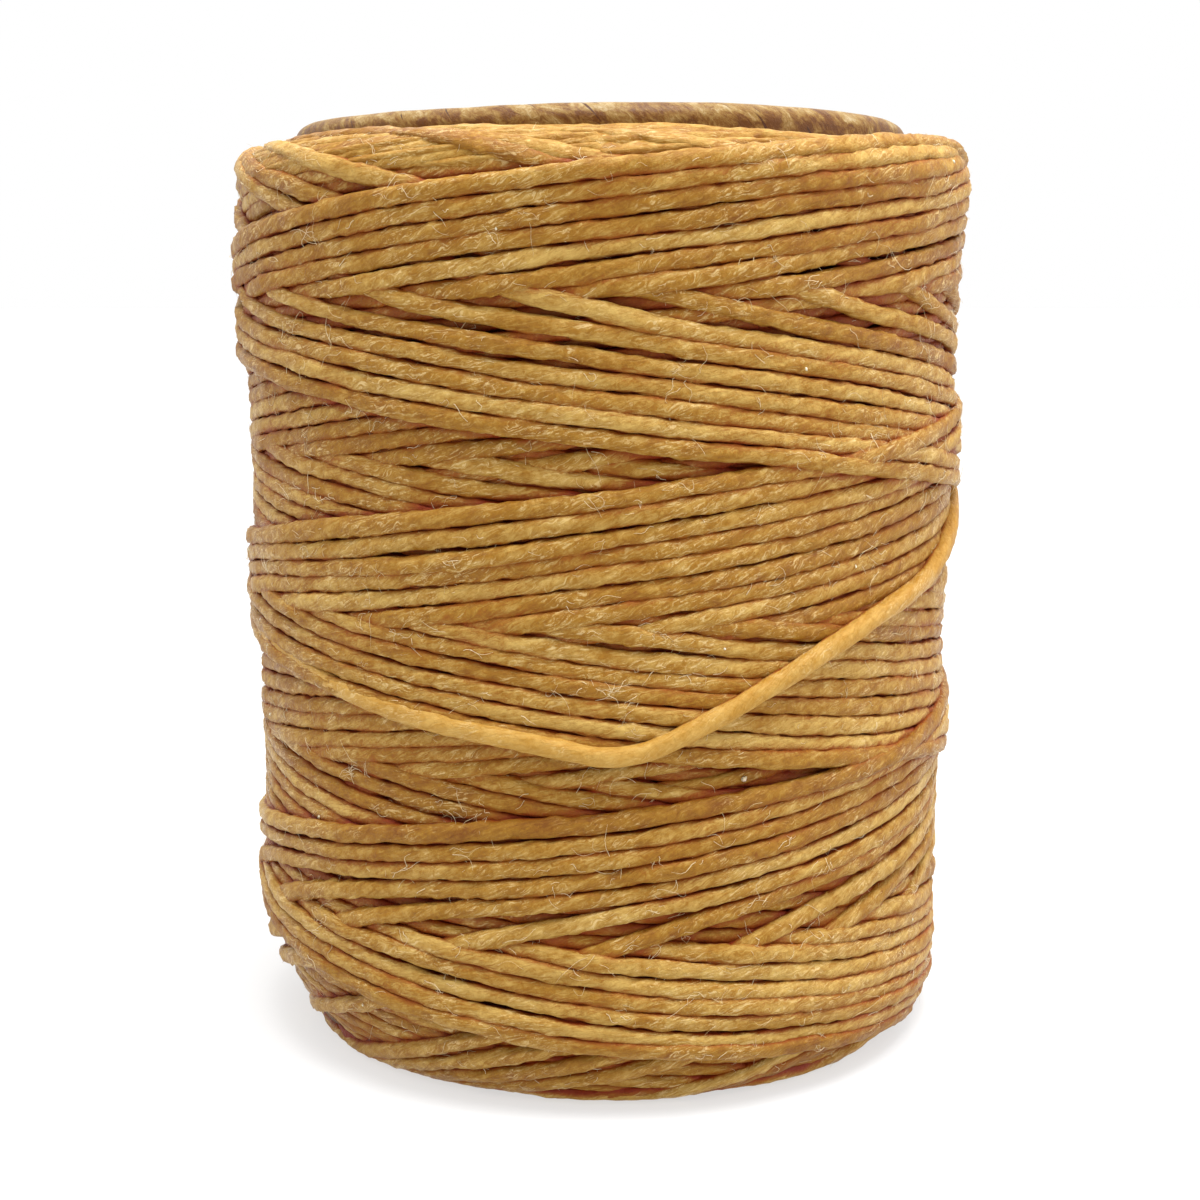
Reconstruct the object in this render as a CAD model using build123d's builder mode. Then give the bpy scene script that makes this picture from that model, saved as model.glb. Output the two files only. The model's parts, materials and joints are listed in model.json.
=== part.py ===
"""Spool of waxed linen thread: a cylindrical package wound crosswise on a paper tube.

The tube is built up the way a paper tube is: a smooth liner, three plies of board, and a kraft
wrap that is turned round both ends into the bore. The thread package is three nested bands of
crossed layers, and the last wrap of the thread lies loose on top of them.

Frame: millimetres, +Z along the tube's axis, origin at the centre of the tube's bottom end.
"""
from build123d import *
from math import cos, pi, radians, sin, tan
import os

os.makedirs("parts", exist_ok=True)

# ------------------------------------------------------------------ paper tube
tube_length = 54.2
bore_radius = 16.0
liner_thickness = 0.3
board_ply_thickness = 0.55
wrap_thickness = 0.3
turn_in_length = 4.0            # how far the wrap is turned down into the bore
rim_outer_radius = 1.0          # rounding of the rolled rim on the package side
rim_inner_radius = 0.6          # rounding of the rolled rim on the bore side

liner_radius = bore_radius + liner_thickness
board_radii = [liner_radius + ply * board_ply_thickness for ply in range(4)]
tube_radius = board_radii[-1] + wrap_thickness
wall_thickness = tube_radius - bore_radius

# ------------------------------------------------------------------ thread package
package_bottom = 0.5            # the tube stands this far out below the thread
package_top = 52.7
body_radius = 21.2              # just above the rounded bottom end
shoulder_radius = 22.0          # the swollen top shoulder, where the turns pile up
bottom_round_height = 5.5
top_round_height = 2.9
top_round_depth = 2.4
layer_step_back = 0.6           # how much further in the first layer's ends lie
layer_shares = (0.34, 0.67, 1.0)    # thickness reached by the inner, middle and outer layers

side_bottom = package_bottom + bottom_round_height
side_top = package_top - top_round_height

# ------------------------------------------------------------------ last wrap of thread
thread_diameter = 1.1
wrap_clearance = 0.04
widest_half_step = 10.0         # degrees, half the widest step between two points of the route

# Angle round the package in degrees, from the front (-Y) towards +X, and height.
last_wrap_route = [
    (-150.0, 29.2),
    (-131.0, 28.2),
    (-112.0, 26.9),
    (-93.0, 26.0),
    (-75.0, 24.9),
    (-57.0, 24.1),
    (-39.0, 22.6),
    (-23.0, 21.7),
    (-9.0, 21.1),
    (3.0, 20.1),
    (14.0, 21.9),
    (28.0, 24.5),
    (43.0, 26.9),
    (59.0, 28.3),
    (76.0, 30.9),
    (94.0, 33.2),
    (113.0, 35.6),
    (132.0, 38.6),
    (151.0, 40.9),
]


# ------------------------------------------------------------------ shared shapes
def tube_section(inset, mode=Mode.ADD):
    """Half section of the tube's wall, with its rounded rims, drawn in by an inset all round."""
    near, far = bore_radius + inset, tube_radius - inset
    low, high = inset, tube_length - inset
    bore_round = rim_inner_radius - inset
    package_round = rim_outer_radius - inset
    with BuildLine() as outline:
        FilletPolyline(
            (near, low),
            (far, low),
            (far, high),
            (near, high),
            radius=[bore_round, package_round, package_round, bore_round],
            close=True,
        )
    make_face(outline.edges(), mode=mode)


def ring_section(inner_radius, outer_radius, bottom, top, mode=Mode.ADD):
    """Rectangular half section of a ring round the axis."""
    with Locations(((inner_radius + outer_radius) / 2, (bottom + top) / 2)):
        Rectangle(outer_radius - inner_radius, top - bottom, mode=mode)


def package_section(share, mode=Mode.ADD):
    """Half section of the thread on the tube, at a share of the full package's thickness."""
    step_back = (1 - share) * layer_step_back
    bottom = package_bottom + step_back
    top = package_top - step_back
    low_radius = tube_radius + share * (body_radius - tube_radius)
    high_radius = tube_radius + share * (shoulder_radius - tube_radius)
    round_depth = share * top_round_depth
    low_height = bottom + share * bottom_round_height
    high_height = top - share * top_round_height
    with BuildLine() as outline:
        EllipticalCenterArc(
            (tube_radius, low_height),
            low_radius - tube_radius,
            low_height - bottom,
            start_angle=-90,
            arc_size=90,
        )
        Bezier(
            (low_radius, low_height),
            (low_radius, (low_height + high_height) / 2),
            (high_radius, high_height),
        )
        EllipticalCenterArc(
            (high_radius - round_depth, high_height),
            round_depth,
            top - high_height,
            start_angle=0,
            arc_size=90,
        )
        Line((high_radius - round_depth, top), (tube_radius, top))
        Line((tube_radius, top), (tube_radius, bottom))
    make_face(outline.edges(), mode=mode)


def side_radius(height):
    """Radius of the package's side at a height: a parabola that swells towards the top."""
    rise = (height - side_bottom) / (side_top - side_bottom)
    return body_radius + (shoulder_radius - body_radius) * rise**2


def finish(part, name):
    """Label one sub-part and write its file."""
    part.label = name
    export_step(part, f"parts/{name}.step")


# ------------------------------------------------------------------ the tube's liner and plies
with BuildPart() as tube_liner:
    with BuildSketch(Plane.XZ):
        ring_section(bore_radius, liner_radius, turn_in_length, tube_length - turn_in_length)
    revolve(axis=Axis.Z)
finish(tube_liner.part, "tube_liner")

for ply_name, inner_radius, outer_radius in zip(
    ("tube_ply_inner", "tube_ply_middle", "tube_ply_outer"), board_radii[:-1], board_radii[1:]
):
    with BuildPart() as tube_ply:
        with BuildSketch(Plane.XZ):
            ring_section(inner_radius, outer_radius, 0, tube_length)
            tube_section(wrap_thickness, mode=Mode.INTERSECT)
        revolve(axis=Axis.Z)
    finish(tube_ply.part, ply_name)

# ------------------------------------------------------------------ the wrap, with rolled rims
with BuildPart() as tube_wrap:
    with BuildSketch(Plane.XZ):
        tube_section(0)
        tube_section(wrap_thickness, mode=Mode.SUBTRACT)
        ring_section(
            bore_radius,
            liner_radius,
            turn_in_length,
            tube_length - turn_in_length,
            mode=Mode.SUBTRACT,
        )
    revolve(axis=Axis.Z)
finish(tube_wrap.part, "tube_wrap")

# ------------------------------------------------------------------ the thread package
laid_share = None
for layer_name, share in zip(
    ("winding_inner_layers", "winding_middle_layers", "winding_outer_layers"), layer_shares
):
    with BuildPart() as winding:
        with BuildSketch(Plane.XZ):
            package_section(share)
            if laid_share:
                package_section(laid_share, mode=Mode.SUBTRACT)
        revolve(axis=Axis.Z)
    finish(winding.part, layer_name)
    laid_share = share

# ------------------------------------------------------------------ the last wrap
route_points = []
for angle, height in last_wrap_route:
    reach = side_radius(height) + thread_diameter / 2 + wrap_clearance
    reach = reach / cos(radians(widest_half_step))
    route_points.append(Vector(reach * sin(radians(angle)), -reach * cos(radians(angle)), height))

runs = [end - start for start, end in zip(route_points, route_points[1:])]
turns = [before.get_angle(after) for before, after in zip(runs, runs[1:])]
arc_radii = [
    0.45 * min(before.length, after.length) / tan(radians(turn / 2))
    for before, after, turn in zip(runs, runs[1:], turns)
]
print("last wrap arc radii:", [round(radius, 1) for radius in arc_radii])

with BuildPart() as thread_last_wrap:
    with BuildLine():
        centreline = FilletPolyline(*route_points, radius=arc_radii)
    with BuildSketch(Plane(centreline @ 0, z_dir=centreline % 0)):
        Circle(thread_diameter / 2)
    sweep()
wrap_volume = pi * (thread_diameter / 2) ** 2 * centreline.length
print("last wrap length:", round(centreline.length, 2), "largest turn:", round(max(turns), 1))
print("last wrap volume:", round(thread_last_wrap.part.volume, 3), "expected:", round(wrap_volume, 3))
finish(thread_last_wrap.part, "thread_last_wrap")
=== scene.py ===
# Looks of the spool of waxed linen thread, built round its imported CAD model.
#
# Lengths are in millimetres and become metres where a mesh is made. Angles round the spool are in
# degrees from the front (-Y) towards +X. The winding is laid the way a winding machine lays it:
# one thread is led up and down the package turn after turn, each turn rests on what lies under it
# and stays taut, and the rows that show are the last ones laid. A place on the package is given
# by its angle, its way along the package's outline from the bottom end to the top end, and its
# level, which is its height over that outline.

import json
from math import asin, cos, pi, radians, sin, tau

import bpy
import numpy as np
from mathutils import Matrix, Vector


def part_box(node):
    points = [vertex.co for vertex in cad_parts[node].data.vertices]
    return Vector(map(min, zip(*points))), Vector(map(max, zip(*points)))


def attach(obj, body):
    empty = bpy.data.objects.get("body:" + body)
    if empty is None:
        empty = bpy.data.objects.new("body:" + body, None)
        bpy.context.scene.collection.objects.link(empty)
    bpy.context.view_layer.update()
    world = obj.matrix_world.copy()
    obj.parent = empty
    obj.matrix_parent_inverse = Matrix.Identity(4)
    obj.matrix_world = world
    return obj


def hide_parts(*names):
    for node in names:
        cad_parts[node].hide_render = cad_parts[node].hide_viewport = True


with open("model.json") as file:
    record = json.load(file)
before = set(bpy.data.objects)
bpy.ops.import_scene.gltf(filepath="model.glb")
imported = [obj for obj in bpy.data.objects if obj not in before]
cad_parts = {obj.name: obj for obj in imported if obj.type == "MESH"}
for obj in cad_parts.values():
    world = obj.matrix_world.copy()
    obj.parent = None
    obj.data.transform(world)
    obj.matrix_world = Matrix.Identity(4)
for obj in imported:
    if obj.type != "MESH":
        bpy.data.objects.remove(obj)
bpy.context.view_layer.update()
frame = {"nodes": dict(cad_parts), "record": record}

MM = 0.001

# ---- sizes read from the frame
TUBE_RADIUS, _, TUBE_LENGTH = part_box("tube_wrap")[1] / MM
package_low, package_high = (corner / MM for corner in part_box("winding_outer_layers"))
SHOULDER_RADIUS, _, PACKAGE_TOP = package_high
PACKAGE_BOTTOM = package_low.z
BORE_RADIUS = next(
    mount["dims"]["r_mm"] for mount in frame["record"]["mounts"] if mount["name"] == "tube_bore"
)

# ---- the package's outline
SHOULDER_SWELL = 0.8  # how much fatter the package is at its top shoulder
HANG = 0.5  # how far the outer turns sag below the CAD package
RISE = 0.5  # and how far they rise over its top, beside the rim
BOTTOM_ROUND_HEIGHT = 5.2  # height of the rounded foot
BOTTOM_FLATNESS = 1.45  # 1 for an elliptical corner, more for a flatter one
TOP_ROUND_HEIGHT = 2.4  # height of the round at the shoulder
TOP_ROUND_DEPTH = 2.0  # and its depth towards the tube
BODY_RADIUS = SHOULDER_RADIUS - SHOULDER_SWELL
SIDE_BOTTOM = PACKAGE_BOTTOM + BOTTOM_ROUND_HEIGHT
SIDE_TOP = PACKAGE_TOP - TOP_ROUND_HEIGHT
FOOT_LEAN = 0.8  # how far the package's foot leans over to one side
FOOT_LEAN_ANGLE = 60.0  # towards this angle
FOOT_LEAN_END = 6.0  # way along where the lean has faded out
MIDDLE_HEIGHT = 27.1  # halfway up the traverse, where the way along equals the height

# ---- the winding
THREAD_WIDTH = 1.0
THREAD_THICKNESS = 0.86
TURN_PITCH = 17.0  # how far the thread is led along the package in one turn
ROW_SPACING = 0.97
CROSSINGS = 6  # turns in one trip up and down, before it steps on by one row
TRIP = 360 * (CROSSINGS - ROW_SPACING / TURN_PITCH)
REVERSAL_SHARPNESS = 0.999  # 1 would turn the thread back in a corner
HALF_TRAVERSE = TURN_PITCH * TRIP / 360 * asin(REVERSAL_SHARPNESS) / tau
LAST_TOP_ANGLE = 40.0  # where the thread last turned back at the top end
WINDING_END = LAST_TOP_ANGLE + 530
TURNS_LAID = 208
TURNS_UNDERNEATH = 100  # laid before the rows that show, and modelled more coarsely
FLOOR = -2.9  # the winding starts on this level under the outline
FIRST_LEVEL = -2.4  # where the thread's middle settles in the first turns
LAST_LEVEL = -0.25  # and in the last ones
BOTTOM_FILL = 1.5  # how far the many turns that turn back fill up the bottom end
BOTTOM_UNEVEN = 0.5  # how much more or less than that to either side
BOTTOM_FULLEST = 60.0  # the angle where it's fullest
TOP_FILL = 2.45  # the same three for the top end
TOP_UNEVEN = 0.15
TOP_FULLEST = -60.0
END_REACH = 3.3  # how far past the even traverse a turn usually reaches
SLOW_END_ERROR = 0.4  # spread of that reach over some trips
QUICK_END_ERROR = 0.6  # and at most from one end to the next
BOTTOM_EXTRA = 0.8  # how much further than that it reaches at the bottom
LAST_TOP_REACH = 1.2  # how far past it the last turn at the top reaches
DEEPER_REACH = 0.5  # how much further the turns underneath reach
DEEPER_FADING = 20 * 360  # degrees over which that fades out
TURNING = 14  # degrees over which the thread turns back
CATCH_UP = 200.0  # degrees after a turning point where the thread is on time again
LEAD_OUT = 170  # degrees over which the end is led to the start of the last wrap
RISE_OUT = 34  # degrees over which it rises onto the rows there
WAY_LIMITS = (-0.8, 54.7)
# Spread, and reach in degrees, of the unevenness with which the thread is led.
LEADING_ERRORS = ((0.11, 40), (0.085, 13), (0.035, 4), (0.06, 300))
GIVE = 0.55  # share of a hump over its level that the tension presses flat
SINK = 0.08  # how far one row presses into the rows under it

# ---- the last wrap
LAST_WRAP_DIAMETER = 1.1
LAST_WRAP_CLEARANCE = 0.04
WIDEST_HALF_STEP = 10.0  # neighbouring points of the route lie less than twice this angle apart
# Angle and height, as on the CAD model's route, and how far outward the point is moved.
LAST_WRAP_ROUTE = [
    (-150.0, 29.2, -1.1), (-131.0, 28.2, -0.95), (-112.0, 26.9, -0.95), (-93.0, 26.0, -0.95),
    (-75.0, 24.9, -0.95), (-57.0, 24.1, -0.95), (-39.0, 22.6, -0.85), (-23.0, 21.7, -0.7),
    (-9.0, 21.1, -0.55), (3.0, 20.1, -0.5), (14.0, 21.9, -0.4), (28.0, 24.5, -0.35),
    (43.0, 26.9, -0.4), (59.0, 28.3, -0.5), (76.0, 30.9, -0.65), (94.0, 33.2, -0.65),
    (113.0, 35.6, -0.65), (132.0, 38.6, -0.65), (151.0, 40.9, -1.9),
]

# ---- the camera
CAMERA_DISTANCE = 120.0  # from the spool's axis
CAMERA_HEIGHT = 44.67
CAMERA_ASIDE = -0.05  # how far it stands to the right of it
CAMERA_PITCH = 9.19  # degrees below the horizon
CAMERA_LENS = 57.98
CAMERA_SENSOR = 36.0


# ---- numbers
def soften(values, reach):
    """The values averaged over a bell of that reach, in samples."""
    half = int(4 * reach) + 1
    bell = np.exp(-0.5 * (np.arange(-half, half + 1) / reach) ** 2)
    return np.convolve(np.pad(values, half, mode="reflect"), bell / bell.sum(), mode="valid")


def wander(random, count, reach):
    """Smooth noise with a spread of 1, which changes over about that many samples."""
    values = soften(random.standard_normal(count), reach)
    return values / values.std()


def ease(values):
    """0 up to 0, 1 from 1, and a smooth step between."""
    values = np.clip(values, 0, 1)
    return values * values * (3 - 2 * values)


# ---- the outline as a table
def arc(centre, radii, start, end):
    """Points of an elliptical arc in the half section, every degree, without the last."""
    angles = np.radians(np.arange(start, end, 1.0))
    unit = np.stack([np.cos(angles), np.sin(angles)], 1)
    return np.array(centre) + np.array(radii) * unit


def package_outline():
    """Way along, radius, height and outward normal at points of the package's outline."""
    corner = np.radians(np.arange(0.0, 90.0))
    low_radius = TUBE_RADIUS + (BODY_RADIUS - TUBE_RADIUS) * np.sin(corner) ** BOTTOM_FLATNESS
    low_height = SIDE_BOTTOM - (BOTTOM_ROUND_HEIGHT + HANG) * np.cos(corner) ** BOTTOM_FLATNESS
    low = np.stack([low_radius, low_height], 1)
    rise = np.linspace(0, 1, 400, endpoint=False)
    side = np.stack(
        [BODY_RADIUS + SHOULDER_SWELL * rise**2, SIDE_BOTTOM + (SIDE_TOP - SIDE_BOTTOM) * rise], 1
    )
    top_centre = (SHOULDER_RADIUS - TOP_ROUND_DEPTH, SIDE_TOP)
    top = arc(top_centre, (TOP_ROUND_DEPTH, TOP_ROUND_HEIGHT), 0, 90)
    flat = np.linspace((top_centre[0], PACKAGE_TOP), (TUBE_RADIUS, PACKAGE_TOP), 20)
    flat[:, 1] += RISE * np.linspace(0, 1, 20)
    points = np.concatenate([low, side, top, flat[1:]])
    way = np.concatenate([[0], np.cumsum(np.hypot(*np.diff(points, axis=0).T))])
    on_side = slice(len(low), len(low) + len(side))
    way += MIDDLE_HEIGHT - np.interp(MIDDLE_HEIGHT, points[on_side, 1], way[on_side])
    along = np.gradient(points, way, axis=0)
    normal = np.stack([along[:, 1], -along[:, 0]], 1)
    normal /= np.linalg.norm(normal, axis=1)[:, None]
    return way, points[:, 0], points[:, 1], normal[:, 0], normal[:, 1]


OUTLINE = package_outline()


def on_package(angle, way, level):
    """Points at these places on the package, and the outward normals there."""
    angle, way, level = np.broadcast_arrays(angle, way, level)
    radius, height, out, up = (np.interp(way, OUTLINE[0], column) for column in OUTLINE[1:])
    turn = np.radians(angle)
    lean = FOOT_LEAN * ease(1 - way / FOOT_LEAN_END) * np.cos(turn - radians(FOOT_LEAN_ANGLE))
    reach = radius + lean + level * out
    points = np.stack([reach * np.sin(turn), -reach * np.cos(turn), height + level * up], -1)
    normals = np.stack([out * np.sin(turn), -out * np.cos(turn), up], -1)
    return points, normals


# ---- laying the thread
COLUMNS_PER_DEGREE = 4
COLUMNS = 360 * COLUMNS_PER_DEGREE
CELL = 0.08  # width of the height map's rows, which lie side by side along the outline
FIRST_ROW = -1.2
ROWS = 707
BESIDE = 6  # rows of it under the thread, to either side of the thread's middle
SLIDES = 5  # rows by which the thread may slide sideways into a gap
EASY_SLIDE = 0.28  # how far it slides easily
DRAW = 0.06  # how much lower a place must be to draw it there
STRETCH = 150  # degrees laid at a time
LOOK_AHEAD = 40  # degrees of thread looked at past the stretch
LOOK_BACK = 12  # and before it
SLIDE_REACH = 12  # degrees over which the slide is evened out
SLIDE_START = 25  # degrees over which it goes over from that of the stretch before
HALF_WIDTH = THREAD_WIDTH / 2
HALF_THICKNESS = THREAD_THICKNESS / 2


def dome(offset, half_width, half_thickness):
    """Height of the thread's upper side over its middle, at an offset to one side."""
    share = np.clip(1 - (offset / half_width) ** 2, 0, 1)
    return np.where(share > 0, half_thickness * np.sqrt(share), -9)


def taut(way, support, radius):
    """The string stretched over these supports, round a drum of that radius."""
    bend = way * way / (2 * radius)
    held_way, held = [], []
    for x, z in zip(way.tolist(), (support - bend).tolist()):
        while len(held) > 1:
            before = (held[-1] - held[-2]) * (x - held_way[-1])
            after = (z - held[-1]) * (held_way[-1] - held_way[-2])
            if before > after:
                break
            held_way.pop()
            held.pop()
        held_way.append(x)
        held.append(z)
    return np.interp(way, held_way, held) + bend


def led_way(random, angle):
    """Where the machine leads the thread: up and down, with the unevenness of a real winding."""
    trips = (angle - LAST_TOP_ANGLE) / TRIP
    lead = np.arcsin(REVERSAL_SHARPNESS * np.cos(tau * trips)) / asin(REVERSAL_SHARPNESS)
    way = MIDDLE_HEIGHT + HALF_TRAVERSE * lead
    traverse = np.floor(trips * 2).astype(int)
    count = traverse.max() - traverse.min() + 1
    reaches = END_REACH + SLOW_END_ERROR * wander(random, count, 5)
    reaches += random.uniform(-QUICK_END_ERROR, QUICK_END_ERROR, count)
    reaches[0 - traverse.min()] = LAST_TOP_REACH
    left = TURNS_UNDERNEATH * 360 - (angle - angle[0])
    reach = reaches[traverse - traverse.min()] + DEEPER_REACH * np.clip(left / DEEPER_FADING, 0, 1)
    at_top = traverse % 2 == 0
    reach = reach + np.where(at_top, 0, BOTTOM_EXTRA)
    since = (trips * 2 - traverse) * TRIP / 2
    rate = 4 * HALF_TRAVERSE / TRIP
    outward = 2 * rate * since
    back = 2 * reach * (CATCH_UP - since) / (CATCH_UP - reach / rate)
    past = np.clip(np.minimum(outward, back), 0, None)
    way = soften(way + np.where(at_top, past, -past), TURNING)
    for spread, reach in LEADING_ERRORS:
        way += spread * wander(random, len(angle), reach)
    to_last_wrap = ease((angle - WINDING_END + LEAD_OUT) / LEAD_OUT)
    way += to_last_wrap * (LAST_WRAP_ROUTE[0][1] - way[-1])
    return np.clip(way, *WAY_LIMITS)


def floor_level(angle, way):
    """Level that the winding starts on: the tube, and near the ends what fills them up."""
    from_end = HALF_TRAVERSE - np.abs(way - MIDDLE_HEIGHT)
    bottom_fill = BOTTOM_FILL + BOTTOM_UNEVEN * np.cos(np.radians(angle - BOTTOM_FULLEST))
    bottom_fill = bottom_fill * ease(0.6 - from_end / 6)
    top_fill = TOP_FILL + TOP_UNEVEN * np.cos(np.radians(angle - TOP_FULLEST))
    top_fill = top_fill * ease(1 - from_end / 5)
    return FLOOR + np.where(way > MIDDLE_HEIGHT, top_fill, bottom_fill)


def rows_near(way, spread):
    """The height map's rows round these places along the outline."""
    row = np.rint((way - FIRST_ROW) / CELL).astype(int)
    return np.clip(row[:, None] + spread, 0, ROWS - 1)


def lay_thread(random):
    """Angle, way along and level of the thread's middle, every degree, and the height map."""
    angle = np.arange(WINDING_END - 360 * TURNS_LAID, WINDING_END + 1, 1.0)
    count = len(angle)
    way = led_way(random, angle)
    level = np.zeros(count)
    around = np.arange(COLUMNS)[:, None] / COLUMNS_PER_DEGREE
    ground = floor_level(around, (FIRST_ROW + CELL * np.arange(ROWS))[None, :])
    beside = np.arange(-BESIDE, BESIDE + 1)
    slides = np.arange(-SLIDES, SLIDES + 1)
    widest = np.arange(-BESIDE - SLIDES, BESIDE + SLIDES + 1)
    under = dome(beside * CELL, 0.9 * HALF_WIDTH, HALF_THICKNESS - 0.02) - SINK
    step = np.interp(way, OUTLINE[0], OUTLINE[1])[1:] * radians(1)
    laid = np.concatenate([[0], np.cumsum(np.hypot(step, np.diff(way)))])
    slid = 0.0
    for start in range(0, count, STRETCH):
        end = min(start + STRETCH, count)
        ahead = min(end + LOOK_AHEAD, count)
        # It slides towards the lowest place beside its course.
        column = np.mod(angle[start:ahead] * COLUMNS_PER_DEGREE, COLUMNS).astype(int)
        around = ground[column[:, None], rows_near(way[start:ahead], widest)]
        rests = [(around[:, k : k + len(beside)] + under).max(1) for k in range(len(slides))]
        rests = np.stack(rests, 1)
        offsets = slides * CELL
        pull = np.exp((rests.min(1)[:, None] - rests) / DRAW - (offsets / EASY_SLIDE) ** 2)
        slide = (pull * offsets).sum(1) / pull.sum(1)
        slide = np.concatenate([np.full(LOOK_AHEAD, slid), slide])
        slide = soften(slide, SLIDE_REACH)[LOOK_AHEAD:]
        slide = slid + (slide - slid) * np.clip(np.arange(len(slide)) / SLIDE_START, 0, 1)
        settled = way[start:ahead] + slide
        # It rests on the highest places under it, and is pulled taut between them.
        support = (ground[column[:, None], rows_near(settled, beside)] + under).max(1)
        back = max(start - LOOK_BACK, 0)
        held = np.concatenate([level[back:start], support])
        string = soften(taut(laid[back:ahead] - laid[start], held, BODY_RADIUS), 2)
        string = string[start - back :]
        settle = FIRST_LEVEL + (LAST_LEVEL - FIRST_LEVEL) * start / count
        string = string - GIVE * np.clip(string - settle, 0, None)
        way[start:end] = settled[: end - start]
        level[start:end] = string[: end - start]
        slid = slide[end - start - 1]
        # Its upper side becomes part of the ground for the turns that follow.
        fine = np.arange((end - start) * COLUMNS_PER_DEGREE) / COLUMNS_PER_DEGREE
        fine_way = np.interp(fine, np.arange(end - start), way[start:end])
        fine_level = np.interp(fine, np.arange(end - start), level[start:end])
        first = int(round(angle[start] * COLUMNS_PER_DEGREE))
        column = np.mod(first + np.arange(len(fine)), COLUMNS)
        rows = rows_near(fine_way, beside)
        offset = rows * CELL + FIRST_ROW - fine_way[:, None]
        top = fine_level[:, None] + dome(offset, HALF_WIDTH, HALF_THICKNESS)
        ground[column[:, None], rows] = np.maximum(ground[column[:, None], rows], top)
    return angle, way, level, ground


# ---- meshes
def new_mesh(name, points, faces, material, replaced=(), attributes=None):
    """A piece from points in millimetres and faces given as lists of point numbers."""
    mesh = bpy.data.meshes.new(name)
    points = np.asarray(points, np.float64).reshape(-1, 3)
    mesh.vertices.add(len(points))
    mesh.vertices.foreach_set("co", (points * MM).astype(np.float32).ravel())
    sizes = np.concatenate([np.full(len(group), group.shape[1]) for group in faces])
    corners = np.concatenate([group.ravel() for group in faces])
    mesh.loops.add(len(corners))
    mesh.loops.foreach_set("vertex_index", corners.astype(np.int32))
    mesh.polygons.add(len(sizes))
    starts = np.concatenate([[0], np.cumsum(sizes)[:-1]])
    mesh.polygons.foreach_set("loop_start", starts.astype(np.int32))
    mesh.polygons.foreach_set("use_smooth", np.ones(len(sizes), bool))
    mesh.update(calc_edges=True)
    for label, values in (attributes or {}).items():
        vector = values.size == 3 * len(points)
        attribute = mesh.attributes.new(label, "FLOAT_VECTOR" if vector else "FLOAT", "POINT")
        field = "vector" if vector else "value"
        attribute.data.foreach_set(field, values.astype(np.float32).ravel())
    mesh.materials.append(material)
    piece = bpy.data.objects.new(name, mesh)
    bpy.context.scene.collection.objects.link(piece)
    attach(piece, "root")
    if replaced:
        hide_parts(*replaced)
    return piece


def tube_faces(rings, sides, first=0):
    """Faces of a tube of that many rings, with both ends closed."""
    ring = np.arange(rings - 1)[:, None] * sides
    side = np.arange(sides)[None, :]
    after = (side + 1) % sides
    quads = np.stack([ring + side, ring + after, ring + sides + after, ring + sides + side], -1)
    start_cap = np.arange(sides)[::-1][None, :]
    end_cap = start_cap[:, ::-1] + (rings - 1) * sides
    return [quads.reshape(-1, 4) + first, start_cap + first, end_cap + first]


def ring_faces(columns, count):
    """Faces of a closed section of that many points, turned all the way round in columns."""
    column = np.arange(columns)[:, None] * count
    after = np.roll(column, -1, axis=0)
    item = np.arange(count)[None, :]
    item_after = (item + 1) % count
    quads = [column + item, after + item, after + item_after, column + item_after]
    return np.stack(quads, -1).reshape(-1, 4)


def lengths_along(points):
    """Distance from the first point to each point."""
    return np.concatenate([[0], np.cumsum(np.linalg.norm(np.diff(points, axis=0), axis=1))])


def across_and_outward(points, normals):
    """Directions across a line and outward from it, with the surface's normals along it."""
    tangent = np.gradient(points, axis=0)
    tangent /= np.linalg.norm(tangent, axis=1)[:, None] + 1e-9
    across = np.cross(tangent, normals)
    across /= np.linalg.norm(across, axis=1)[:, None] + 1e-9
    return across, np.cross(across, tangent)


# ---- the thread's skin
TWIST = 0.55  # radians per millimetre of thread
SQUARENESS = 0.75  # of its section, 1 for an ellipse, less for a squarer one
# Pieces the turns are cut into, spacing of the rings, and sides of a ring.
UNDERNEATH = (2, 1.1, 8)
SHOWN = (8, 0.29, 14)
# Spread, and reach in millimetres, of the unevenness of its thickness and of its colour.
THICKNESS_ERRORS = ((0.04, 6), (0.03, 1.5), (0.02, 0.6))
TINT_ERRORS = ((0.08, 60), (0.1, 9))
FLOOR_GAP = 0.05  # between the floor and the lowest thread
PRESSED_DEPTH = 0.35  # how far over that gap the floor presses the thread flat
PRESSED_WIDTH = 1.02  # width of the waxed thread where turns are pressed together
DEEPEST = 0.55  # how far under the rows a turn counts as lying at most, for its painted shade
OPEN_END = 0.25  # how much less deep the open turns on the top end count as lying, which paints them lighter where light falls from above
OPEN_END_START = SIDE_TOP + 0.3
OPEN_END_WIDTH = 2.2


def uneven(random, count, spacing, errors):
    """The sum of smooth noises with these spreads and reaches, at points that far apart."""
    return sum(spread * wander(random, count, reach / spacing) for spread, reach in errors)


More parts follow.
